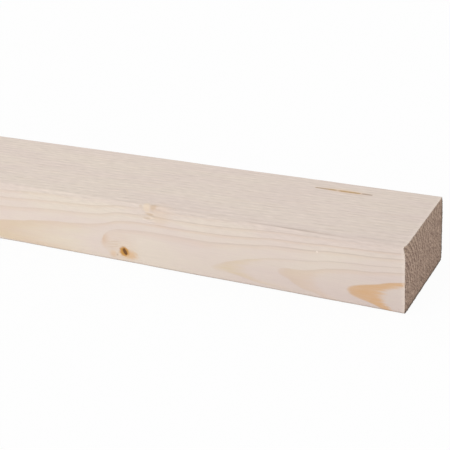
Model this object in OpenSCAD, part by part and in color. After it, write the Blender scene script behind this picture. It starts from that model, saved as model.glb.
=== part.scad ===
// Planed softwood plank: one sawn length of rectangular section with eased long edges,
// square-cut ends and a resin pocket open in its upper face.
// It lies on a wide face, its length along X, its width along Y and its thickness along Z.
// The origin is the middle of the face it lies on.

/* [Plank] */
// Length of the piece, a size such stock is sold in
plank_len = 2400; // [600:50:6000]
// Width of the two wide faces
plank_w = 63; // [40:1:250]
// Thickness between the two wide faces
plank_t = 38; // [16:1:100]

/* [Eased edges] */
// Radius of the four long edges
edge_r = 1.5; // [0.5:0.1:6]

/* [Resin pocket] */
// Length of the pocket along the grain
pocket_len = 33; // [10:1:80]
// Opening at its widest, half way along
pocket_w = 1.2; // [0.6:0.1:4]
// Depth below the upper face at its deepest
pocket_depth = 1; // [0.4:0.1:5]
// Distance from the +X end of the plank to the nearer tip
pocket_end = 35.5; // [10:0.5:300]
// Distance of its middle line from the +Y edge face
pocket_back = 11; // [8:0.5:30]

/* [Hidden] */
$fn = 96;

// Radius of each of the two arcs that meet in the tips of the pocket's outline
outline_r = (pow(pocket_len / 2, 2) + pow(pocket_w / 2, 2)) / pocket_w;
// Half the chord of the pocket's floor, a little longer than the outline so that the tips keep some depth
floor_chord = 0.56 * pocket_len;
// Radius of the hollow floor
floor_r = (pow(floor_chord, 2) + pow(pocket_depth, 2)) / (2 * pocket_depth);
// Middle of the pocket on the upper face
pocket_x = plank_len / 2 - pocket_end - pocket_len / 2;
pocket_y = plank_w / 2 - pocket_back;

spruce = [0.86, 0.80, 0.75];

// What the planer takes off one long edge, from the centre of the edge's round outward
module edge_waste() {
    difference() {
        square(2 * edge_r);
        circle(r = edge_r);
    }
}

// Cross-section: the sawn rectangle with its four corners rounded
module section() {
    difference() {
        square([plank_w, plank_t], center = true);
        for (across = [0, 1], up = [0, 1])
            mirror([across, 0])
                mirror([0, up])
                    translate([plank_w / 2 - edge_r, plank_t / 2 - edge_r])
                        edge_waste();
    }
}

// Pointed outline of the pocket, where two flat arcs cross
module pocket_outline() {
    intersection_for (side = [-1, 1])
        translate([0, side * (outline_r - pocket_w / 2)])
            circle(r = outline_r);
}

// Boat-shaped hollow of the pocket, with the upper face at z = 0
module resin_pocket() {
    intersection() {
        linear_extrude(height = 4 * pocket_depth, center = true)
            pocket_outline();
        translate([0, 0, floor_r - pocket_depth])
            rotate([90, 0, 0])
                cylinder(r = floor_r, h = 2 * pocket_w, center = true);
    }
}

module plank() {
    color(spruce)
        difference() {
            translate([0, 0, plank_t / 2])
                rotate([90, 0, 90])
                    linear_extrude(height = plank_len, center = true)
                        section();
            translate([pocket_x, pocket_y, plank_t])
                resin_pocket();
        }
}

plank();
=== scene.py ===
import math
from typing import NamedTuple

import bpy
import numpy as np
from mathutils import Matrix, Vector


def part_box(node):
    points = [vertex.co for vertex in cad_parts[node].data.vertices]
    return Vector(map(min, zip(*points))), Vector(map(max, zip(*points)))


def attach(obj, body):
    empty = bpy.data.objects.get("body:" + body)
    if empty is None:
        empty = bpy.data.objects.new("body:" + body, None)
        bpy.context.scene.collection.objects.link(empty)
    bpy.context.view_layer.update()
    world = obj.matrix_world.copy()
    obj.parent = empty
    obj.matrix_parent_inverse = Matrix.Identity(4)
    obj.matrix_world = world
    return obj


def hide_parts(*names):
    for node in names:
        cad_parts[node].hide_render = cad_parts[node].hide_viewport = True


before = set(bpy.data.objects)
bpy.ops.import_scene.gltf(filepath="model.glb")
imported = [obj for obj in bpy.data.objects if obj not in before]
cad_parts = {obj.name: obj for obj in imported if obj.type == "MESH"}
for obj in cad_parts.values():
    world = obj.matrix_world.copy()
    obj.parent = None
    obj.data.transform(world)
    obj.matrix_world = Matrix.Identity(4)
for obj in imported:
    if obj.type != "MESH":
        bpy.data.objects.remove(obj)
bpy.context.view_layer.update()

# Sizes are in millimetres and are turned into metres where a mesh or lamp is made.
# u runs along the plank: 0 at the +X saw cut, negative towards the far end.
# v runs across the plank from its front face, and z runs up from the floor.
MM = 0.001
low_corner, high_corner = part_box("plank")
LENGTH, WIDTH, THICK = (high_corner - low_corner) / MM
SEED = 20

# Eased long edges, as the solid has them, and how unevenly they are worn, in long and short stretches
EDGE_R = 1.5
WEAR, WEAR_STRETCH = 0.16, 23
WEAR_FINE, WEAR_FINE_STRETCH = 0.05, 4

# The resin pocket in the upper face, as the solid has it
POCKET_LEN = 33.0
POCKET_W = 1.2
POCKET_DEPTH = 1.0
POCKET_U = -52.0
POCKET_V = WIDTH - 11.0
# Two thin bridges of wood across it, as (u, width), and how far they fill it
BRIDGES = ((-55.6, 1.2), (-42.0, 0.6))
BRIDGE_FILL = 0.8

# Saw cuts: the blade's axle, and the pitch and depth of its marks
BLADE_V, BLADE_Z = -90.0, -130.0
BLADE_PITCH = 2.1
BLADE_MARK = 0.05
# The marks waver in slow waves across the plank and out from the axle, as (phase, length)
WAVER_ACROSS = (2.0, 9.0)
WAVER_OUT = ((1.7, 3.7), (1.2, 8.1))
# Roughness of the cut fibres, depth and rarity of torn spots, and how far the rim is frayed
FIBRE_ROUGH = 0.07
TORN_SPOT, TORN_RARITY = 0.25, 1.5
FRAY = 0.07

# Corners of the saw cuts that are knocked off, as (v, z, depth), and how far the wear reaches
WORN_CORNERS = (
    (0.0, THICK, 0.9), (WIDTH, THICK, 0.3),
    (0.0, 0.0, 0.3), (WIDTH, 0.0, 0.15),
)
WORN_V, WORN_Z, WORN_ALONG = 2.0, 3.4, 9.0

# Growth rings: depth of the pith in front of the front face, and its height, by distance from the +X cut
PITH_DEPTH = (
    (0, 18.55), (9, 19.5), (18, 20.4), (27, 20.8), (31, 21.1), (40, 21.9), (53, 23.3), (69, 24),
    (84, 25.1), (105, 26), (160, 27), (181, 29.5), (210, 30.5), (256, 31.5), (300, 32),
)
PITH_HEIGHT = ((0, 8.6), (30, 9.0), (68, 10), (108, 9.5), (182, 9.5), (256, 7.5), (300, 7))
PITH_STRETCH = 300.0
# Low on the front the grain round the ring tips leans up or down: place along, reach, rise,
# the height above which there is none of it and the height below which it is full
TIP_LEANS = (
    (-174.0, 7.0, 2.2, 24.0, 17.0),
    (-110.0, 8.0, -2.0, 26.0, 13.0),
    (-66.0, 13.0, 2.6, 20.0, 13.0),
    (-57.0, 6.0, -2.0, 11.0, 6.0),
    (-1.0, 8.0, -4.0, 12.0, 6.0),
)
# Beyond that stretch the pith wanders in slow waves. The ripple in its depth and the wave in its height
# run faster than the main wave in its depth, by their rates.
FAR_WAVE = 1900.0
FAR_DEPTH = 9.0
FAR_RIPPLE, FAR_RIPPLE_RATE = 1.2, 3.7
FAR_HEIGHT, FAR_HEIGHT_RATE = 5.0, 1.4
# The slope of the pith shows less in the outer rings, which keep closer to a mean depth
MEAN_DEPTH = 24.0
OUTER_EVENNESS = 0.6
# Waver of the grain, slow and quick: cells of its cloud noise, and how far it goes.
# The slow one goes further where the pith has no curve of its own.
SLOW_WAVER_CELLS = (70.0, 16.0, 16.0)
SLOW_WAVER_NEAR, SLOW_WAVER_FAR = 0.5, 1.7
QUICK_WAVER_CELLS = (16.0, 5.0, 5.0)
QUICK_WAVER = 0.4
# Outer radius of each ring near the pith, then an even growth with some good and bad years
INNER_RINGS = (14, 16.5, 18.5, 21.1, 24, 26, 29.5, 32, 35, 38)
RING_W = 2.6
RING_GROWTH = (0.82, 1.18)
RING_COUNT = 38


def srgb(red, green, blue):
    """Linear colour of an 8-bit display colour."""
    def linear(level):
        c = level / 255
        return c / 12.92 if c <= 0.04045 else ((c + 0.055) / 1.055) ** 2.4
    return linear(red), linear(green), linear(blue), 1.0


# Colours of the wood
EARLYWOOD_PINK = srgb(223, 208, 199)
EARLYWOOD_CREAM = srgb(226, 214, 200)
# Grey of the painted shade on the planed faces
SHADED_WOOD_GREY = srgb(192, 176, 171)
LATE_EDGE = srgb(174, 163, 157)
RESIN_TAN = srgb(208, 168, 126)
RESIN_GOLD = srgb(211, 186, 126)
KNOT_CORE = srgb(88, 45, 0)
KNOT_WOOD = srgb(195, 140, 62)
BRANCH_WOOD = srgb(190, 150, 110)
KNOT_HALO = srgb(216, 180, 140)
KNOT_BROWN = srgb(206, 184, 162)
PALE_KNOT = srgb(228, 210, 189)
BARK = srgb(150, 134, 122)
POCKET_RESIN = srgb(184, 152, 100)
POCKET_BARK = srgb(166, 144, 126)
# Grey of the painted shade on the rounded long edges
EDGE_SHADE_GREY = srgb(176, 160, 150)
END_LIGHT = srgb(196, 170, 151)
END_DARK = srgb(122, 100, 88)
# Grime in the end grain, and the painted shade at its lower and back edges
END_GRIME_AND_SHADE = srgb(90, 80, 70)
END_DUST = srgb(214, 190, 162)
# Pale loose fibre, partly a painted highlight
PALE_FIBRE_AND_HIGHLIGHT = srgb(229, 215, 203)


class Field:
    """A number, colour or vector that varies over a surface, written with ordinary arithmetic."""

    def __init__(self, graph, socket):
        self.graph, self.socket = graph, socket

    def __add__(self, other):
        return self.graph.math("ADD", self, other)

    def __radd__(self, other):
        return self.graph.math("ADD", other, self)

    def __sub__(self, other):
        return self.graph.math("SUBTRACT", self, other)

    def __rsub__(self, other):
        return self.graph.math("SUBTRACT", other, self)

    def __mul__(self, other):
        return self.graph.math("MULTIPLY", self, other)

    def __rmul__(self, other):
        return self.graph.math("MULTIPLY", other, self)

    def __truediv__(self, other):
        return self.graph.math("DIVIDE", self, other)

    def __neg__(self):
        return self.graph.math("MULTIPLY", self, -1.0)


class Graph:
    """Writes a material's nodes from expressions."""

    def __init__(self, material):
        material.use_nodes = True
        self.nodes, self.links = material.node_tree.nodes, material.node_tree.links
        self.shader = self.nodes["Principled BSDF"]

    def feed(self, socket, value):
        if isinstance(value, Field):
            self.links.new(value.socket, socket)
        else:
            socket.default_value = value

    def node(self, kind, values=(), **settings):
        made = self.nodes.new(kind)
        for name, value in settings.items():
            setattr(made, name, value)
        for name, value in dict(values).items():
            self.feed(made.inputs[name], value)
        return made

    def out(self, kind, output, values=(), **settings):
        return Field(self, self.node(kind, values, **settings).outputs[output])

    def math(self, operation, *values):
        return self.out("ShaderNodeMath", 0, enumerate(values), operation=operation)

    def vector_math(self, operation, *values, output=0):
        return self.out("ShaderNodeVectorMath", output, enumerate(values), operation=operation)

    def length(self, a, b):
        return self.math("SQRT", a * a + b * b)

    def lesser(self, a, b):
        return self.math("MINIMUM", a, b)

    def ramp(self, value, start, end, low=0.0, high=1.0):
        """Smooth step from low at start to high at end."""
        values = {"Value": value, "From Min": start, "From Max": end, "To Min": low, "To Max": high}
        return self.out("ShaderNodeMapRange", 0, values, interpolation_type="SMOOTHSTEP")

    def bell(self, value, width):
        """1 where value is 0, falling off over width on both sides."""
        scaled = value / width
        return self.math("EXPONENT", -(scaled * scaled))

    def vector(self, x, y, z):
        return self.out("ShaderNodeCombineXYZ", 0, enumerate((x, y, z)))

    def reach(self, place, middle, sizes):
        """Distance of place from middle, with a different unit along each axis."""
        away = self.vector_math("SUBTRACT", place, middle)
        return self.vector_math("LENGTH", self.vector_math("DIVIDE", away, sizes), output="Value")

    def noise(self, place, detail=2.0, rough=0.5):
        """Cloud noise about 0, in units of its own cells."""
        values = {"Vector": place, "Scale": 1.0, "Detail": detail, "Roughness": rough}
        return self.out("ShaderNodeTexNoise", 0, values) - 0.5

    def cloud(self, place, sizes, detail=2.0, rough=0.5):
        """Cloud noise about 0, with cells of the given sizes."""
        return self.noise(self.vector_math("DIVIDE", place, sizes), detail, rough)

    def curve(self, value, points, handles="AUTO_CLAMPED"):
        """Value read off a curve through points, as (place, height)."""
        places, heights = zip(*points)
        first, last, low, high = places[0], places[-1], min(heights), max(heights)
        made = self.node("ShaderNodeFloatCurve", {"Value": (value - first) / (last - first)})
        line = made.mapping.curves[0]
        scaled = [((x - first) / (last - first), (y - low) / (high - low)) for x, y in points]
        for point in scaled[1:-1]:
            line.points.new(*point)
        line.points[0].location, line.points[-1].location = scaled[0], scaled[-1]
        for point in line.points:
            point.handle_type = handles
        made.mapping.update()
        return Field(self, made.outputs[0]) * (high - low) + low

    def mix(self, a, b, share):
        """Colour a with a share of colour b."""
        made = self.node("ShaderNodeMix", data_type="RGBA", clamp_factor=True)
        for socket, value in zip((made.inputs[0], made.inputs[6], made.inputs[7]), (share, a, b)):
            self.feed(socket, value)
        return Field(self, made.outputs[2])

    def brighten(self, colour, by):
        """Colour times a number."""
        made = self.node("ShaderNodeVectorMath", operation="SCALE")
        self.feed(made.inputs[0], colour)
        self.feed(made.inputs["Scale"], by)
        return Field(self, made.outputs[0])

    def bump(self, height, distance, strength):
        values = {"Height": height, "Distance": distance, "Strength": strength}
        self.feed(self.shader.inputs["Normal"], self.out("ShaderNodeBump", 0, values))


class Stain(NamedTuple):
    """A resinous stretch of one growth ring: its middle and reach, and where in the ring it sets in."""

    ring: int
    u: float
    reach_u: float
    strength: float
    onset: float
    colour: tuple = RESIN_GOLD
    z: float = 12.0
    reach_z: float = 200.0


STAINS = (
    Stain(2, -10.0, 60.0, 0.82, 0.38, RESIN_TAN),
    Stain(3, -62.0, 14.0, 0.12, 0.50),
    Stain(4, -95.0, 20.0, 0.28, 0.64),
    Stain(5, -178.0, 4.0, 0.44, 0.20, RESIN_TAN, z=13.5, reach_z=5.0),
    Stain(6, -260.0, 55.0, 0.26, 0.10),
)
# A stain goes right through the plank, and sets in over a share of its ring
THROUGH = 1000.0
STAIN_EASE = 0.35

# Beside the pin knot the rings are hard to see
FADED_PLACE = (-180.0, 0.0, 10.0)
FADED_REACH = (14.0, THROUGH, 9.0)
FADED = 0.85

# Stained wood reaches this many knot radii along the grain and round the knot
HALO_ALONG, HALO_ROUND = 2.6, 1.6


class Knot(NamedTuple):
    """A branch or fleck: a cone round an axis that meets the surface at place, and stained wood beside."""

    place: tuple
    axis: tuple
    radius: float
    wood: tuple
    swell: float = 0.0
    soft: float = 0.2
    clear: float = 1.0
    core: float = 0.0
    halo: float = 0.0
    halo_colour: tuple = KNOT_HALO
    halo_shift: tuple = (0.0, 0.0, 0.0)
    halo_size: tuple = None

    def halo_reach(self):
        around = HALO_ROUND * self.radius
        return self.halo_size or (HALO_ALONG * self.radius, around, around)


def dash(place):
    """A faint streak along the grain beside the pin knot."""
    return Knot(place, (1.0, 0.13, 0.17), 0.4, KNOT_BROWN, swell=-0.03, soft=0.6, clear=0.4)


def branch(place, axis, radius, swell, core, halo):
    """An ordinary knot on the guessed part of the plank."""
    return Knot(place, axis, radius, BRANCH_WOOD, swell=swell, soft=0.35, core=core, halo=halo)


INWARD = (0.0, 1.0, 0.0)
DOWN_INWARD = (0.0, 1.0, -1.0)
TORN_AXIS = (1.0, 0.3, 0.0)
# The dark pin knot low on the front face, and the pale one on the front upper edge
PIN_KNOT = Knot(
    (-164.0, 0.0, 7.1), (0.16, 1.0, -0.20), 2.9, KNOT_WOOD, swell=0.012, soft=0.3, core=0.25,
    halo=0.8, halo_shift=(2.6, 0.0, -1.4), halo_size=(7.0, 4.0, 3.6),
)
EDGE_KNOT = Knot(
    (-146.6, 0.0, 37.8), (-0.20, 0.67, 0.74), 2.2, PALE_KNOT, swell=0.02, soft=0.45, clear=0.8,
    halo=0.8, halo_colour=KNOT_BROWN, halo_shift=(4.4, 0.6, 0.0), halo_size=(2.6, 3.0, 2.4),
)
KNOTS = (
    PIN_KNOT,
    Knot((-163.4, 0.0, 6.6), (0.62, 1.0, -1.22), 1.25, KNOT_CORE, swell=-0.2, soft=0.2),
    Knot((-167.2, 0.0, 4.6), INWARD, 0.9, PALE_KNOT, swell=-0.1, soft=0.5, clear=0.5),
    Knot((-168.9, 0.0, 4.3), INWARD, 0.6, BARK, swell=-0.1, clear=0.4),
    Knot((-171.5, 0.0, 4.3), INWARD, 2.0, KNOT_HALO, swell=-0.2, soft=0.7, clear=0.4),
    dash((-169.4, 0.0, 12.5)),
    dash((-169.9, 0.0, 10.8)),
    dash((-170.3, 0.0, 9.2)),
    Knot((-164.0, 0.0, 9.0), INWARD, 8.0, KNOT_HALO, swell=-0.6, soft=0.7, clear=0.14),
    EDGE_KNOT,
    Knot((-150.2, 0.0, 37.9), DOWN_INWARD, 1.0, KNOT_BROWN, swell=-0.2, soft=0.6, clear=0.4),
    Knot((-139.0, 0.0, 33.0), DOWN_INWARD, 6.0, KNOT_HALO, swell=-0.5, soft=0.8, clear=0.18),
    Knot((-144.4, 0.0, 33.3), TORN_AXIS, 0.7, KNOT_BROWN, swell=-0.05, soft=0.5, clear=0.9),
    Knot((-146.4, 0.0, 30.6), TORN_AXIS, 0.6, KNOT_BROWN, swell=-0.05, soft=0.5, clear=0.6),
    Knot((-46.5, 0.0, 27.5), INWARD, 0.6, PALE_FIBRE_AND_HIGHLIGHT, swell=-0.1),
    branch((-610.0, 40.0, THICK), (-0.30, 0.8, 0.55), 4.0, swell=0.030, core=0.45, halo=0.7),
    branch((-655.0, 0.0, 22.0), (-0.25, 1.0, 0.35), 3.0, swell=0.020, core=0.30, halo=0.6),
    branch((-1120.0, 30.0, THICK), (-0.30, 0.6, 0.75), 3.4, swell=0.025, core=0.40, halo=0.7),
    branch((-1145.0, 0.0, 12.0), (-0.25, 1.0, 0.05), 2.8, swell=0.015, core=0.70, halo=0.8),
    branch((-1630.0, 48.0, THICK), (-0.30, 0.9, 0.45), 3.8, swell=0.025, core=0.35, halo=0.6),
    branch((-2080.0, 0.0, 26.0), (-0.25, 1.0, 0.40), 3.2, swell=0.020, core=0.50, halo=0.8),
)
# A cone never gets thinner than this share of its radius
THINNEST = 0.02
# Grain bends round a knot with a halo: how far, in knot radii, and how fast that dies away
BEND, BEND_FALL = 0.5, 0.55
# The dark knot has shrunk below the face, over a share of its radius
PIN_SUNK, PIN_SUNK_REACH = 0.22, 0.8
# The plane has torn the fibres under the pale one
TORN_PLACE = (-145.0, 0.0, 30.8)
TORN_REACH = (4.0, 3.0, 3.6)
TORN_DEPTH = 0.22


def graded(start, end, count, focus, reach, gain):
    """count + 1 places from start to end, closer together by gain within reach of focus."""
    fine = np.linspace(start, end, 4001)
    density = 1 + (gain - 1) * np.exp(-(((fine - focus) / reach) ** 2))
    total = np.concatenate(([0], np.cumsum((density[1:] + density[:-1]) / 2)))
    return np.interp(np.linspace(0, total[-1], count + 1), total, fine)


# Mesh of the plank: columns round the section, closer together at the pocket, and rows along the length
FLAT_W = 112
FLAT_H = 66
ARC = 6
POCKET_CLOSE, POCKET_GAIN = 1.6, 2.6
# Row spacing up to each distance from the +X cut: fine at the saw cuts, the pocket and the knots
ROW_STEPS = (
    (2.4, 0.8), (34.0, 2.0), (70.0, 1.2), (138.0, 4.0), (172.0, 1.1), (290.0, 6.0),
    (LENGTH - 30, 40.0), (LENGTH - 2.4, 3.0), (LENGTH, 0.8),
)
SIDE_W = FLAT_W + ARC
SIDE_H = FLAT_H + ARC
COLUMNS = 2 * (SIDE_W + SIDE_H)
CORNER_COLUMNS = (0, SIDE_W, SIDE_W + SIDE_H, 2 * SIDE_W + SIDE_H)
# Normals of the four flats point along an axis by more than this cosine
SQUARE_ON = 0.999


def row_places():
    """u of every row, from the +X cut to the far end."""
    places, start = [0.0], 0.0
    for end, step in ROW_STEPS:
        count = max(1, round((end - start) / step))
        places.extend(np.linspace(start, end, count + 1)[1:])
        start = end
    return -np.array(places)


def section_sides():
    """Points (v, z) and outward normals of the section's four sides, each from mid corner to mid corner."""
    across = graded(EDGE_R, WIDTH - EDGE_R, FLAT_W, POCKET_V, POCKET_CLOSE, POCKET_GAIN)
    up = np.linspace(EDGE_R, THICK - EDGE_R, FLAT_H + 1)
    left, right, low, high = EDGE_R, WIDTH - EDGE_R, EDGE_R, THICK - EDGE_R
    corners = ((left, low), (right, low), (right, high), (left, high))
    flats = (across, up, across[::-1], up[::-1])
    sides = []
    for number, flat in enumerate(flats):
        facing = math.radians(270 + 90 * number)
        halves = []
        for corner, first in ((corners[number], -45), (corners[(number + 1) % 4], 0)):
            angles = facing + np.radians(np.linspace(first, first + 45, ARC // 2 + 1))
            normals = np.stack((np.cos(angles), np.sin(angles)), 1)
            halves.append((np.array(corner) + EDGE_R * normals, normals))
        (start, start_n), (end, end_n) = halves
        inner = np.repeat(start[-1:], len(flat) - 2, 0)
        inner[:, number % 2] = flat[1:-1]
        inner_n = np.repeat(start_n[-1:], len(flat) - 2, 0)
        sides.append((np.concatenate((start, inner, end)), np.concatenate((start_n, inner_n, end_n))))
    return sides


def smooth_noise(rng, count, cell):
    """Random numbers from -1 to 1 along a line, blended over cell steps."""
    knots = rng.uniform(-1, 1, int(count / cell) + 4)
    place = np.arange(count) / cell
    whole = place.astype(int)
    part = place - whole
    part = part * part * (3 - 2 * part)
    return knots[whole] * (1 - part) + knots[whole + 1] * part


def cap_relief(rng, v, z):
    """How far the saw left the end wood proud or torn, at points of the end face."""
    blade = np.hypot(v - BLADE_V, z - BLADE_Z)
    phase, length = WAVER_ACROSS
    waver = phase * np.sin(v / length)
    for phase, length in WAVER_OUT:
        waver = waver + phase * np.sin(blade / length)
    marks = BLADE_MARK * np.sin(blade * 2 * math.pi / BLADE_PITCH + waver)
    fibres = FIBRE_ROUGH * rng.standard_normal(v.shape)
    tears = np.maximum(0, rng.standard_normal(v.shape) - TORN_RARITY)
    return marks + fibres - TORN_SPOT * tears


def worn_corners(v, z):
    """How far the corners of a saw cut are knocked back."""
    depths = [depth * np.exp(-((v - corner_v) / WORN_V) ** 2 - ((z - corner_z) / WORN_Z) ** 2)
              for corner_v, corner_z, depth in WORN_CORNERS]
    return sum(depths)


def pocket_depth(u, v):
    """Depth of the resin pocket below the upper face."""
    along = np.clip(1 - (2 * (u - POCKET_U) / POCKET_LEN) ** 2, 0, 1)
    half = np.maximum(POCKET_W / 2 * along, 1e-6)
    across = np.clip(1 - ((v - POCKET_V) / half) ** 2, 0, 1)
    depth = POCKET_DEPTH * np.sqrt(along * across)
    for middle, width in BRIDGES:
        depth = depth * (1 - BRIDGE_FILL * np.exp(-(((u - middle) / width) ** 2)))
    return depth


def worn_edges(rng, rows, normals, v, z):
    """v and z of the skin with its long edges eased a little unevenly."""
    slant = np.minimum(abs(normals[:, 0]), abs(normals[:, 1])) * math.sqrt(2)
    fine_rows = np.arange(0, LENGTH + 1)
    for middle in CORNER_COLUMNS:
        wear = WEAR * (1 + smooth_noise(rng, len(fine_rows), WEAR_STRETCH))
        wear = wear + WEAR_FINE * smooth_noise(rng, len(fine_rows), WEAR_FINE_STRETCH)
        wear = np.interp(-rows, fine_rows, np.maximum(wear, 0))
        in_corner = np.zeros(COLUMNS)
        columns = np.arange(middle - ARC // 2, middle + ARC // 2 + 1) % COLUMNS
        in_corner[columns] = slant[columns]
        v = v - wear[:, None] * in_corner * normals[:, 0]
        z = z - wear[:, None] * in_corner * normals[:, 1]
    return v, z


def marked_front(rng, u, z):
    """How deep the front face lies in at the sunken knot and the torn fibres."""
    pin_u, _, pin_z = PIN_KNOT.place
    sunk = np.exp(-((u - pin_u) ** 2 + (z - pin_z) ** 2) / (PIN_SUNK_REACH * PIN_KNOT.radius) ** 2)
    torn_u, _, torn_z = TORN_PLACE
    torn = np.exp(-((u - torn_u) / TORN_REACH[0]) ** 2 - ((z - torn_z) / TORN_REACH[2]) ** 2)
    return PIN_SUNK * sunk + TORN_DEPTH * torn * rng.random(u.shape)


def skin_points(rng, rows, outline, normals):
    """Points of the planed skin, row by row."""
    count = len(rows)
    u = np.repeat(rows[:, None], COLUMNS, 1)
    v = np.repeat(outline[None, :, 0], count, 0)
    z = np.repeat(outline[None, :, 1], count, 0)
    v, z = worn_edges(rng, rows, normals, v, z)
    z -= np.where(normals[:, 1] > SQUARE_ON, pocket_depth(u, v), 0)
    v += np.where(normals[:, 0] < -SQUARE_ON, marked_front(rng, u, z), 0)
    for cut, inward in ((0.0, -1), (-LENGTH, 1)):
        u += inward * worn_corners(v, z) * np.maximum(0, 1 - abs(u - cut) / WORN_ALONG)
    for row in (0, count - 1):
        u[row] += np.clip(FRAY * rng.standard_normal(COLUMNS), -3 * FRAY, 3 * FRAY)
    return np.stack((u, v, z), -1).reshape(-1, 3)


def skin_faces(count):
    """Quads between the points of count rows."""
    row, column = np.meshgrid(np.arange(count - 1), np.arange(COLUMNS), indexing="ij")
    beside = (column + 1) % COLUMNS
    corners = (
        row * COLUMNS + column, (row + 1) * COLUMNS + column,
        (row + 1) * COLUMNS + beside, row * COLUMNS + beside,
    )
    return np.stack(corners, -1).reshape(-1, 4)


def grid_quads(grid):
    """The four corners of every cell of a grid."""
    return np.stack((grid[:-1, :-1], grid[1:, :-1], grid[1:, 1:], grid[:-1, 1:]), 2)


def build_plank():
    """The whole plank as one closed mesh: its skin, and a grid over each saw cut that shares the rim."""
    rng = np.random.default_rng(SEED)
    sides = section_sides()
    outline = np.concatenate([points[:-1] for points, _ in sides])
    normals = np.concatenate([n[:-1] for _, n in sides])
    rows = row_places()
    count = len(rows)
    points = [skin_points(rng, rows, outline, normals)]
    faces = [skin_faces(count)]
    slots = [np.zeros(len(faces[0]), int)]

    flat = end_grid(sides)
    rim, on_rim = rim_columns()
    made = count * COLUMNS
    for row, outward in ((0, 1), (count - 1, -1)):
        index = np.where(on_rim, rim + row * COLUMNS, 0)
        index[~on_rim] = made + np.arange((~on_rim).sum())
        v, z = flat[~on_rim].T
        u = rows[row] + outward * (cap_relief(rng, v, z) - worn_corners(v, z))
        points.append(np.stack((u, v, z), -1))
        made += len(u)
        quads = grid_quads(index).reshape(-1, 4)
        faces.append(quads if outward > 0 else quads[:, ::-1])
        slots.append(np.ones(len(quads), int))

    place = (np.concatenate(points) + (LENGTH / 2, -WIDTH / 2, 0)) * MM
    faces, slots = np.concatenate(faces), np.concatenate(slots)
    mesh = bpy.data.meshes.new("plank_wood")
    mesh.from_pydata(place.tolist(), [], faces.tolist())
    mesh.polygons.foreach_set("material_index", slots)
    mesh.polygons.foreach_set("use_smooth", np.ones(len(faces), bool))
    mesh.update()
    mark_rims(mesh, count)
    lay_map(mesh, rows, outline, flat)
    piece = bpy.data.objects.new("plank_wood", mesh)
    bpy.context.scene.collection.objects.link(piece)
    return piece


def end_grid(sides):
    """Points (v, z) of a grid that fills the section and follows its four sides."""
    bottom, back, top, front = (points for points, _ in sides)
    top, front = top[::-1], front[::-1]
    s = np.linspace(0, 1, SIDE_W + 1)[:, None, None]
    t = np.linspace(0, 1, SIDE_H + 1)[None, :, None]
    between = (1 - t) * bottom[:, None] + t * top[:, None] + (1 - s) * front[None] + s * back[None]
    low_corners = (1 - s) * (1 - t) * bottom[0] + s * (1 - t) * bottom[-1]
    corners = low_corners + (1 - s) * t * top[0] + s * t * top[-1]
    return between - corners


def rim_columns():
    """For each point of the end grid, the column of the skin that it shares, and whether it shares one."""
    i, j = np.meshgrid(np.arange(SIDE_W + 1), np.arange(SIDE_H + 1), indexing="ij")
    _, back, top, front = CORNER_COLUMNS
    left_side = np.where(i == 0, (front + SIDE_H - j) % COLUMNS, 0)
    upper_side = np.where(j == SIDE_H, top + SIDE_W - i, left_side)
    right_side = np.where(i == SIDE_W, back + j, upper_side)
    columns = np.where(j == 0, i, right_side)
    return columns, (i == 0) | (i == SIDE_W) | (j == 0) | (j == SIDE_H)


def mark_rims(mesh, count):
    """The edges between the planed skin and the saw cuts stay sharp."""
    ends = np.zeros(len(mesh.edges) * 2, int)
    mesh.edges.foreach_get("vertices", ends)
    ends = ends.reshape(-1, 2)
    first = (ends < COLUMNS).all(1)
    last = ((ends >= (count - 1) * COLUMNS) & (ends < count * COLUMNS)).all(1)
    mesh.edges.foreach_set("use_edge_sharp", first | last)


# Bands of the surface map, as stretches of the length and heights in the map: a close one for the
# detailed stretch, two long strips, and the two saw cuts side by side above
MAP_GAP = 0.008
MAP_BANDS = ((0.0, 290.0, 0.0, 0.36), (290.0, 1345.0, 0.36, 0.60), (1345.0, LENGTH, 0.60, 0.84))
CAP_BAND = (0.84, 1.0)
CAP_STRETCH = (1.5, 1.0)


def lay_map(mesh, rows, outline, flat):
    """Surface map with the grain along its strips."""
    layer = mesh.uv_layers.new(name="OFBake")
    step = np.linalg.norm(np.roll(outline, -1, 0) - outline, axis=1)
    around = np.concatenate(([0], np.cumsum(step))) / step.sum()
    far = -rows
    uv = []
    for row in range(len(rows) - 1):
        middle = (far[row] + far[row + 1]) / 2
        start, end, low, high = next(band for band in MAP_BANDS if middle < band[1])
        x = MAP_GAP + (1 - 2 * MAP_GAP) * (far[row:row + 2] - start) / (end - start)
        y = low + MAP_GAP + (high - low - 2 * MAP_GAP) * around
        a, b = y[:-1], y[1:]
        x0, x1 = np.full_like(a, x[0]), np.full_like(a, x[1])
        uv.append(np.stack((x0, a, x1, a, x1, b, x0, b), -1).reshape(-1, 4, 2))
    size = (CAP_BAND[1] - CAP_BAND[0] - 2 * MAP_GAP) / THICK
    for number in range(2):
        corner = flat * size * CAP_STRETCH + (MAP_GAP + 0.5 * number, CAP_BAND[0] + MAP_GAP)
        quads = grid_quads(corner).reshape(-1, 4, 2)
        uv.append(quads if number == 0 else quads[:, ::-1])
    layer.data.foreach_set("uv", np.concatenate(uv).ravel())


def ring_edges():
    """Outer radius of every ring."""
    rng = np.random.default_rng(SEED + 1)
    edges = list(INNER_RINGS)
    while len(edges) <= RING_COUNT:
        edges.append(edges[-1] + RING_W * rng.uniform(*RING_GROWTH))
    return edges


# Heights between which the front or back turns into the upper face
UPPER_EDGE = (THICK - 3.0, THICK - 1.2)


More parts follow.
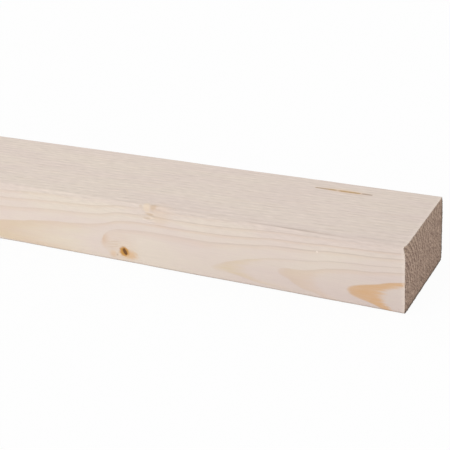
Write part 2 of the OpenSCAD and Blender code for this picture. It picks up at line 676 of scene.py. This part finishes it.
class Wood:
    """Fields of the wood at a point of the surface: its place, the knots near it and its growth ring."""

    def __init__(self, g):
        split = g.node("ShaderNodeSeparateXYZ", {0: g.out("ShaderNodeTexCoord", "Object")})
        x, y, z = (Field(g, output) / MM for output in split.outputs)
        self.u, self.v, self.z = x - LENGTH / 2, y + WIDTH / 2, z
        self.place = g.vector(self.u, self.v, self.z)
        self.from_cut = g.lesser(-self.u, self.u + LENGTH)
        self.on_top = g.ramp(self.z, *UPPER_EDGE)
        self.cones = [self.cone(g, knot) for knot in KNOTS]
        numbered = [(edge, float(ring)) for ring, edge in enumerate(ring_edges())]
        number = g.curve(self.radius(g), numbered, "VECTOR")
        self.ring, self.share = g.math("FLOOR", number), g.math("FRACT", number)

    def cone(self, g, knot):
        """Distance from the knot's axis in knot radii."""
        axis = Vector(knot.axis).normalized()
        away = g.vector_math("SUBTRACT", self.place, knot.place)
        along = g.vector_math("DOT_PRODUCT", away, axis, output="Value")
        side = g.vector_math("LENGTH", g.vector_math("CROSS_PRODUCT", away, axis), output="Value")
        return side / g.math("MAXIMUM", along * knot.swell + knot.radius, THINNEST * knot.radius)

    def radius(self, g):
        """Distance from the pith, which wavers and bends round the knots."""
        far = g.math("MAXIMUM", -self.u - PITH_STRETCH, 0.0) * (2 * math.pi / FAR_WAVE)
        near = g.lesser(-self.u, PITH_STRETCH)
        swing = 0.5 - g.math("COSINE", far) * 0.5
        ripple = g.math("SINE", far * FAR_RIPPLE_RATE) * FAR_RIPPLE
        depth = g.curve(near, PITH_DEPTH) - swing * FAR_DEPTH + ripple
        height = g.curve(near, PITH_HEIGHT) + g.math("SINE", far * FAR_HEIGHT_RATE) * FAR_HEIGHT
        for place, reach, rise, none, full in TIP_LEANS:
            height = height + g.bell(self.u - place, reach) * g.ramp(self.z, none, full) * rise
        depth = depth - (depth - MEAN_DEPTH) * g.ramp(self.v, 6.0, WIDTH, 0.0, OUTER_EVENNESS)
        slow = g.ramp(-self.u, 220.0, 420.0, SLOW_WAVER_NEAR, SLOW_WAVER_FAR)
        waver = g.cloud(self.place, SLOW_WAVER_CELLS) * slow
        waver = waver + g.cloud(self.place, QUICK_WAVER_CELLS) * QUICK_WAVER
        radius = g.length(self.v + depth, self.z - height) + waver
        for knot, cone in zip(KNOTS, self.cones):
            if knot.halo > 0:
                radius = radius - g.math("EXPONENT", -cone * BEND_FALL) * (BEND * knot.radius * knot.halo)
        return radius


# Cells of the cloud noises in the planed wood, as sizes along, across and up
PATCH_CELLS = (55.0, 13.0, 13.0)
FIBRE_CELLS = (22.0, 0.55, 0.55)
DASH_CELLS = (5.0, 0.75, 0.75)
DASHED_PATCH_CELLS = (8.0, 2.4, 2.4)
STREAK_CELLS = (14.0, 1.3, 1.3)
BROKEN_CELLS = (11.0, 3.0, 3.0)
SOAKED_CELLS = (9.0, 0.9, 0.9)
FADE_CELLS = (28.0, 4.0, 4.0)
RAGGED_CELLS = (1.6, 1.6, 1.6)
TORN_CELLS = (5.0, 0.7, 0.7)
FRINGE_CELLS = (1.8, 1.2, 1.2)

# Brightness of fibres, of short dashes and of the rings that show as dashes on the upper face
FIBRE_LIGHT, DASH_LIGHT, RING_LIGHT = 0.10, 0.21, 0.075
# The short dashes grow from a low share at this height to the full one on the upper face
DASH_Z, DASH_LOW = 24.0, 0.2
# Painted shade, greying the wood as the light falls off towards a saw cut: its reach from a cut, and its
# share on the back, high and low on the front, at a cut and on top
SHADED_REACH, SHADED_CUT_REACH = 260.0, 45.0
SHADED_BACK, SHADED_HIGH, SHADED_LOW, SHADED_CUT, SHADED_TOP = 0.10, 0.20, 0.42, 0.09, 0.13


def early_wood(g, wood, fibre):
    """Pale cream and pink wood with fine fibres, with painted shade that greys it to a pink grey towards
    the saw cuts, low on the front and on the upper face.
    """
    patch = g.cloud(wood.place, PATCH_CELLS, 3.0)
    cream = g.ramp(patch, -0.16, 0.16) - 0.5
    colour = g.mix(EARLYWOOD_PINK, EARLYWOOD_CREAM, cream * (1.0 - wood.on_top * 0.5) + 0.5)
    # Painted shade: greyer towards the saw cuts, low on the front and on the upper face
    front = g.ramp(wood.z, 30.0, 4.0, SHADED_HIGH, SHADED_LOW)
    shaded = g.ramp(wood.v, 8.0, 0.0, SHADED_BACK, front)
    shaded = shaded + g.ramp(wood.from_cut, SHADED_CUT_REACH, 5.0) * SHADED_CUT
    shaded = g.ramp(wood.from_cut, SHADED_REACH, 0.0) * shaded + wood.on_top * SHADED_TOP
    colour = g.mix(colour, SHADED_WOOD_GREY, shaded)
    dashes = g.cloud(wood.place, DASH_CELLS, 1.0) * g.ramp(wood.z, DASH_Z, UPPER_EDGE[1], DASH_LOW)
    patchy = g.ramp(g.cloud(wood.place, DASHED_PATCH_CELLS), -0.08, 0.18) * wood.on_top
    rings = g.math("COSINE", wood.share * (2 * math.pi)) * patchy
    return g.brighten(colour, 1.0 + fibre * FIBRE_LIGHT + dashes * DASH_LIGHT - rings * RING_LIGHT)


# Shares of a ring at which its tan band and its dark line set in, and at which they and a stain end
BAND_ONSET = (0.45, 0.85)
LINE_ONSET = (0.78, 0.95)
RING_END = (1.0, 0.97)
SOAKED_END = (1.0, 0.92)
# Tan of a band in every year, and its spread from year to year
BAND_TAN, BAND_SPREAD = 0.05, 0.12
# Strength of the lines away from a cut and near it, and how much it varies along them
LINE_AWAY, LINE_NEAR, LINE_VARIES = 0.24, 0.33, 0.5
# Beyond the knots the lines are faint
FAINT_U, FAINT_REACH, FAINT = -215.0, 50.0, 0.65


def late_wood(g, wood, colour):
    """Growth rings: a soft tan band that ends in a thin darker line, and resinous stretches."""
    year = g.out("ShaderNodeTexWhiteNoise", "Value", {"W": wood.ring}, noise_dimensions="1D")
    streaked = wood.share + g.cloud(wood.place, STREAK_CELLS) * 0.45
    outside = g.ramp(wood.share, *RING_END)
    broken = g.ramp(g.cloud(wood.place, BROKEN_CELLS), -0.10, 0.16)
    faded = g.bell(g.reach(wood.place, FADED_PLACE, FADED_REACH), 1.0) * FADED
    whole = (1.0 - wood.on_top * (1.0 - broken * 0.5)) * (1.0 - faded)
    band = g.ramp(streaked, *BAND_ONSET) * outside * whole
    colour = g.mix(colour, RESIN_TAN, band * (year * BAND_SPREAD + BAND_TAN))

    soaked = g.ramp(wood.share, *SOAKED_END) * (g.cloud(wood.place, SOAKED_CELLS) * 0.7 + 1.0)
    for stain in STAINS:
        near = g.reach(wood.place, (stain.u, 0.0, stain.z), (stain.reach_u, THROUGH, stain.reach_z))
        share = g.bell(wood.ring - float(stain.ring), 0.4) * g.bell(near, 1.0) * stain.strength
        resin = g.ramp(streaked, stain.onset, stain.onset + STAIN_EASE) * soaked * share
        colour = g.mix(colour, stain.colour, resin)

    # The lines are crispest high on the front
    line = g.ramp(wood.share, *LINE_ONSET) * outside * whole
    fade = g.cloud(wood.place, FADE_CELLS) * LINE_VARIES
    crisp = g.ramp(wood.z + wood.v, 12.0, 28.0, 0.16, 1.0)
    crisp = crisp * (1.0 - g.bell(wood.u - FAINT_U, FAINT_REACH) * FAINT)
    near_cut = g.ramp(wood.from_cut, 95.0, 30.0, LINE_AWAY, LINE_NEAR)
    return g.mix(colour, LATE_EDGE, line * (crisp * (fade + near_cut)))


# Fibres broken by a knot or torn by the plane: their reach in knot radii, and how their brightness varies
BROKEN_REACH, BROKEN_LIGHT, TORN_LIGHT = 3.0, 0.3, 0.5


def paint_knots(g, wood, colour):
    """Stained and broken fibre round each knot, its branch wood and its darker middle."""
    ragged = g.cloud(wood.place, RAGGED_CELLS, 3.0, 0.6) * 0.7
    torn_fibre = g.cloud(wood.place, TORN_CELLS, 1.0)
    for knot, cone in zip(KNOTS, wood.cones):
        if knot.halo > 0:
            colour = g.brighten(colour, 1.0 + g.bell(cone, BROKEN_REACH) * torn_fibre * BROKEN_LIGHT)
            middle = Vector(knot.place) + Vector(knot.halo_shift)
            halo = g.reach(wood.place, middle, knot.halo_reach())
            colour = g.mix(colour, knot.halo_colour, g.ramp(halo + ragged * 1.4, 1.15, 0.35) * knot.halo)
        wood_share = g.ramp(cone + ragged, 1.0 + knot.soft, 1.0 - knot.soft)
        colour = g.mix(colour, knot.wood, wood_share * knot.clear)
        if knot.core > 0:
            colour = g.mix(colour, KNOT_CORE, g.ramp(cone + ragged, 0.72, 0.25) * knot.core)
    torn = g.reach(wood.place, TORN_PLACE, TORN_REACH)
    return g.brighten(colour, 1.0 + g.ramp(torn, 1.5, 0.5) * torn_fibre * TORN_LIGHT)


# Share of resin and bark seen in the pocket, and of the yellowed wood beside it
POCKET_SHARE, POCKET_STAIN = 0.72, 0.5


def paint_pocket(g, wood, colour):
    """Resin and bark in the pocket in the upper face, and the yellowed wood beside it."""
    along = (wood.u - POCKET_U) / (POCKET_LEN / 2)
    across = (wood.v - POCKET_V) / (POCKET_W / 2)
    inside = g.ramp(g.math("ABSOLUTE", across) + along * along * 0.4, 1.9, 0.9) * wood.on_top
    inside = inside * g.ramp(g.math("ABSOLUTE", along), 1.03, 0.97)
    for middle, width in BRIDGES:
        inside = inside * (1.0 - g.bell(wood.u - middle, width) * BRIDGE_FILL)
    # Bark lies beyond the last bridge and, thinly, at the other tip
    last_bridge = BRIDGES[-1][0]
    resin = g.mix(POCKET_RESIN, POCKET_BARK, g.ramp(wood.u, last_bridge - 0.5, last_bridge + 0.5))
    resin = g.mix(resin, POCKET_BARK, g.ramp(wood.u, POCKET_U - 6.0, POCKET_U - 12.0) * 0.6)
    stain = g.bell(across, 3.2) * g.bell(along - 0.1, 0.55) * wood.on_top
    colour = g.mix(colour, KNOT_HALO, stain * POCKET_STAIN)
    return g.mix(colour, resin, inside * POCKET_SHARE)


# Painted shade on the rounded long edges: its share towards the front, towards the back and underneath
EDGE_SHADE_FRONT, EDGE_SHADE_BACK, EDGE_SHADE_BELOW = 0.06, 0.22, 0.75
# The line of painted shade along the front upper edge: its place across, its width, and where along it is
# darkest
EDGE_LINE_V, EDGE_LINE_W = 1.1, 0.36
EDGE_LINE_U, EDGE_LINE_REACH = -56.0, 22.0
EDGE_LINE_DARK, EDGE_LINE_FAINT = 0.65, 0.16
# Fibres that the saw loosened, pale and partly a painted highlight: how far in they start, how ragged that
# is, and their share
FRINGE_IN, FRINGE_RAGGED, LOOSE_FIBRE_AND_HIGHLIGHT = 2.2, 7.0, 0.42


def paint_edges(g, wood, colour):
    """Painted shade on the rounded long edges and in a thin line along the front upper one, and pale
    loosened fibres along the saw cuts that are partly a painted highlight.
    """
    from_edge = g.lesser(wood.v, WIDTH - wood.v) + g.lesser(wood.z, THICK - wood.z)
    # Painted shade on the rounded long edges, strongest at the back and underneath
    edge_shade = g.ramp(wood.v, 20.0, 40.0, EDGE_SHADE_FRONT, EDGE_SHADE_BACK)
    edge_shade = edge_shade + g.ramp(wood.z, 1.6, 0.3) * EDGE_SHADE_BELOW
    colour = g.mix(colour, EDGE_SHADE_GREY, g.ramp(from_edge, 1.8, 0.8) * edge_shade)
    # Painted shade in a thin line along the front upper edge
    line = g.bell(wood.v - EDGE_LINE_V, EDGE_LINE_W) * wood.on_top * g.ramp(wood.u, -150.0, -120.0)
    dark = g.bell(wood.u - EDGE_LINE_U, EDGE_LINE_REACH) * EDGE_LINE_DARK + EDGE_LINE_FAINT
    colour = g.mix(colour, EDGE_SHADE_GREY, line * dark)
    loose = g.cloud(wood.place, FRINGE_CELLS, 2.0, 0.7) * FRINGE_RAGGED
    # Pale loosened fibres along the saw cuts, partly a painted highlight
    return g.mix(colour, PALE_FIBRE_AND_HIGHLIGHT, g.ramp(wood.from_cut - loose, FRINGE_IN, 0.0) * LOOSE_FIBRE_AND_HIGHLIGHT)


# Gloss of the planed faces, and the height of their fibres and rings
PLANED_ROUGH, PLANED_SPECULAR = 0.62, 0.05
PLANED_RELIEF, PLANED_BUMP = 0.06, 0.6


def planed_material():
    """Planed faces: faint growth rings, fibre, knots and the resin pocket."""
    material = bpy.data.materials.new("planed_spruce")
    g = Graph(material)
    wood = Wood(g)
    fibre = g.cloud(wood.place, FIBRE_CELLS, 3.0, 0.6)
    colour = early_wood(g, wood, fibre)
    for paint in (late_wood, paint_knots, paint_pocket, paint_edges):
        colour = paint(g, wood, colour)
    g.feed(g.shader.inputs["Base Color"], colour)
    band = g.ramp(wood.share, *BAND_ONSET) * g.ramp(wood.share, *RING_END)
    g.feed(g.shader.inputs["Roughness"], PLANED_ROUGH + fibre * 0.15 - band * 0.05)
    g.shader.inputs["Specular IOR Level"].default_value = PLANED_SPECULAR
    g.bump(fibre * 0.6 + band * 0.5, PLANED_RELIEF * MM, PLANED_BUMP)
    return material


# Cells of the cloud noises in the end grain, as sizes along, across and up
END_GRAIN_CELLS = (3.0, 1.6, 1.7)
SPECKLE_CELLS = (3.0, 0.9, 0.8)
PORE_CELLS = (3.0, 2.2, 2.6)
LOOSE_CELLS = (3.0, 0.7, 0.7)
# Blade streaks: their width out from the axle and their length
STREAK_W, STREAK_LEN = 0.8, 14.0
# Shares of dust, of loose fibre that is partly a painted highlight, of grime in pores and specks, and of
# painted shade at the lower and back edges of the end grain
DUST, FLUFF_AND_HIGHLIGHT, PORE_GRIME, SPECK_GRIME, RIM_SHADE = 0.7, 0.7, 0.6, 0.5, 0.7
# Gloss of the saw cuts, and the height of their grain
END_ROUGH, END_SPECULAR = 0.85, 0.15
END_RELIEF, END_BUMP = 0.3, 0.8


def end_material():
    """Saw-cut ends: dull brown end grain with saw marks, dust, pale loose fibres that are partly a painted
    highlight, and painted shade at the lower and back edges.
    """
    material = bpy.data.materials.new("sawn_end_grain")
    g = Graph(material)
    wood = Wood(g)
    v, z = wood.v, wood.z
    grain = g.cloud(wood.place, END_GRAIN_CELLS, 3.0, 0.7)
    speckle = g.cloud(wood.place, SPECKLE_CELLS, 1.0)
    blade = g.length(v - BLADE_V, z - BLADE_Z)
    streak = g.noise(g.vector(blade / STREAK_W, (v - z) / STREAK_LEN, 0.0), 2.0, 0.6)
    rings = g.ramp(wood.share, 0.2, 0.9) * g.ramp(wood.share, 1.0, 0.95) - 0.4
    rough = grain * 0.8 + streak * 0.7 + speckle * 0.8 + rings * 0.22
    colour = g.mix(END_LIGHT, END_DARK, g.ramp(rough, -0.32, 0.31))
    pores = g.ramp(g.cloud(wood.place, PORE_CELLS), 0.10, 0.22) * g.ramp(v, 7.0, 2.0)
    colour = g.mix(colour, END_GRIME_AND_SHADE, pores * PORE_GRIME)

    # Dust and loose fibres along the upper and front edges, the fibres partly a painted highlight, and
    # painted shade along the other two
    below_top = g.ramp(THICK - z, 9.0, 1.5)
    colour = g.mix(colour, END_DUST, g.ramp(speckle, 0.06, 0.20) * below_top * DUST)
    colour = g.mix(colour, END_GRIME_AND_SHADE, g.ramp(speckle, -0.06, -0.20) * below_top * SPECK_GRIME)
    loose = g.cloud(wood.place, LOOSE_CELLS, 2.0, 0.7)
    from_pale_edges = g.lesser(THICK - z, v)
    # Pale loose fibres, partly a painted highlight where they catch the light
    colour = g.mix(colour, PALE_FIBRE_AND_HIGHLIGHT, g.ramp(loose - from_pale_edges * 0.25, -0.2, 0.1) * FLUFF_AND_HIGHLIGHT)
    # Painted shade along the lower and back edges of the saw cut
    from_shaded_rim = g.lesser(z, (WIDTH - v) * 0.7)
    colour = g.mix(colour, END_GRIME_AND_SHADE, g.ramp(from_shaded_rim, 2.4, 0.3) * RIM_SHADE)

    g.feed(g.shader.inputs["Base Color"], colour)
    g.feed(g.shader.inputs["Roughness"], END_ROUGH + grain * 0.2)
    g.shader.inputs["Specular IOR Level"].default_value = END_SPECULAR
    g.bump(grain + streak + speckle * 0.5, END_RELIEF * MM, END_BUMP)
    return material


# Camera: the viewpoint as a place before the +X cut and its turn in degrees, with the lens it needs
CAMERA_U, CAMERA_V, CAMERA_Z = 150.2, -457.0, 288.9
CAMERA_AZIMUTH, CAMERA_ELEVATION, CAMERA_ROLL = 28.552, 26.069, -4.192
LENS = 88.08
SENSOR = 36.0


def make_camera():
    azimuth, elevation = math.radians(CAMERA_AZIMUTH), math.radians(CAMERA_ELEVATION)
    level = math.cos(elevation)
    back = Vector((math.sin(azimuth) * level, -math.cos(azimuth) * level, math.sin(elevation)))
    right = Vector((0, 0, 1)).cross(back).normalized()
    turn = Matrix((right, back.cross(right), back)).transposed()
    turn = turn @ Matrix.Rotation(math.radians(CAMERA_ROLL), 3, "Z")
    data = bpy.data.cameras.new("camera")
    data.lens, data.sensor_width = LENS, SENSOR
    data.clip_start, data.clip_end = 0.01, 100.0
    camera = bpy.data.objects.new("camera", data)
    place = Vector((LENGTH / 2 + CAMERA_U, CAMERA_V - WIDTH / 2, CAMERA_Z)) * MM
    camera.matrix_world = Matrix.Translation(place) @ turn.to_4x4()
    bpy.context.scene.collection.objects.link(camera)
    bpy.context.scene.camera = camera


# Studio: a pale floor in metres, an even white surround and one broad soft lamp from the front left
FLOOR_SIZE = 60.0
FLOOR_DROP = 0.0002
FLOOR_COLOUR = (0.80, 0.80, 0.80, 1.0)
FLOOR_WHITE = 0.95
WHITE = (1.0, 1.0, 1.0, 1.0)
SURROUND = 0.90
SUN_STRENGTH = 0.93
SUN_ANGLE = 60.0
SUN_FROM = (-0.45, -0.84, 0.33)


def white_to_camera(nodes, links, share):
    """A share of plain white where the camera, or a reflection that it sees, looks at a surface."""
    path = nodes.new("ShaderNodeLightPath")
    seen = path.outputs["Is Camera Ray"]
    for name in ("Is Glossy Ray", "Is Transmission Ray"):
        both = nodes.new("ShaderNodeMath")
        both.operation = "MAXIMUM"
        links.new(seen, both.inputs[0])
        links.new(path.outputs[name], both.inputs[1])
        seen = both.outputs[0]
    part = nodes.new("ShaderNodeMath")
    part.operation = "MULTIPLY"
    part.inputs[1].default_value = share
    links.new(seen, part.inputs[0])
    return part.outputs[0]


def make_floor():
    mesh = bpy.data.meshes.new("floor")
    half = FLOOR_SIZE / 2
    corners = [(-half, -half, 0), (half, -half, 0), (half, half, 0), (-half, half, 0)]
    mesh.from_pydata(corners, [], [(0, 1, 2, 3)])
    floor = bpy.data.objects.new("floor", mesh)
    floor.location.z = -FLOOR_DROP
    bpy.context.scene.collection.objects.link(floor)
    material = bpy.data.materials.new("floor")
    material.use_nodes = True
    nodes, links = material.node_tree.nodes, material.node_tree.links
    nodes.remove(nodes["Principled BSDF"])
    matt = nodes.new("ShaderNodeBsdfDiffuse")
    matt.inputs["Color"].default_value = FLOOR_COLOUR
    white = nodes.new("ShaderNodeEmission")
    blend = nodes.new("ShaderNodeMixShader")
    links.new(white_to_camera(nodes, links, FLOOR_WHITE), blend.inputs[0])
    links.new(matt.outputs[0], blend.inputs[1])
    links.new(white.outputs[0], blend.inputs[2])
    links.new(blend.outputs[0], nodes["Material Output"].inputs["Surface"])
    mesh.materials.append(material)


def make_lights():
    world = bpy.data.worlds.new("surround")
    world.use_nodes = True
    nodes, links = world.node_tree.nodes, world.node_tree.links
    light = nodes["Background"]
    light.inputs["Strength"].default_value = SURROUND
    light.inputs["Color"].default_value = WHITE
    plain = nodes.new("ShaderNodeBackground")
    plain.inputs["Color"].default_value = WHITE
    blend = nodes.new("ShaderNodeMixShader")
    links.new(white_to_camera(nodes, links, 1.0), blend.inputs[0])
    links.new(light.outputs[0], blend.inputs[1])
    links.new(plain.outputs[0], blend.inputs[2])
    links.new(blend.outputs[0], nodes["World Output"].inputs["Surface"])
    bpy.context.scene.world = world

    sun = bpy.data.lights.new("soft_lamp", "SUN")
    sun.energy, sun.angle = SUN_STRENGTH, math.radians(SUN_ANGLE)
    lamp = bpy.data.objects.new("soft_lamp", sun)
    lamp.rotation_mode = "QUATERNION"
    lamp.rotation_quaternion = Vector(SUN_FROM).to_track_quat("Z", "Y")
    bpy.context.scene.collection.objects.link(lamp)


bpy.context.scene.view_settings.view_transform = "Standard"
make_camera()
make_floor()
make_lights()
plank = build_plank()
plank.data.materials.append(planed_material())
plank.data.materials.append(end_material())
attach(plank, "root")
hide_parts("plank")
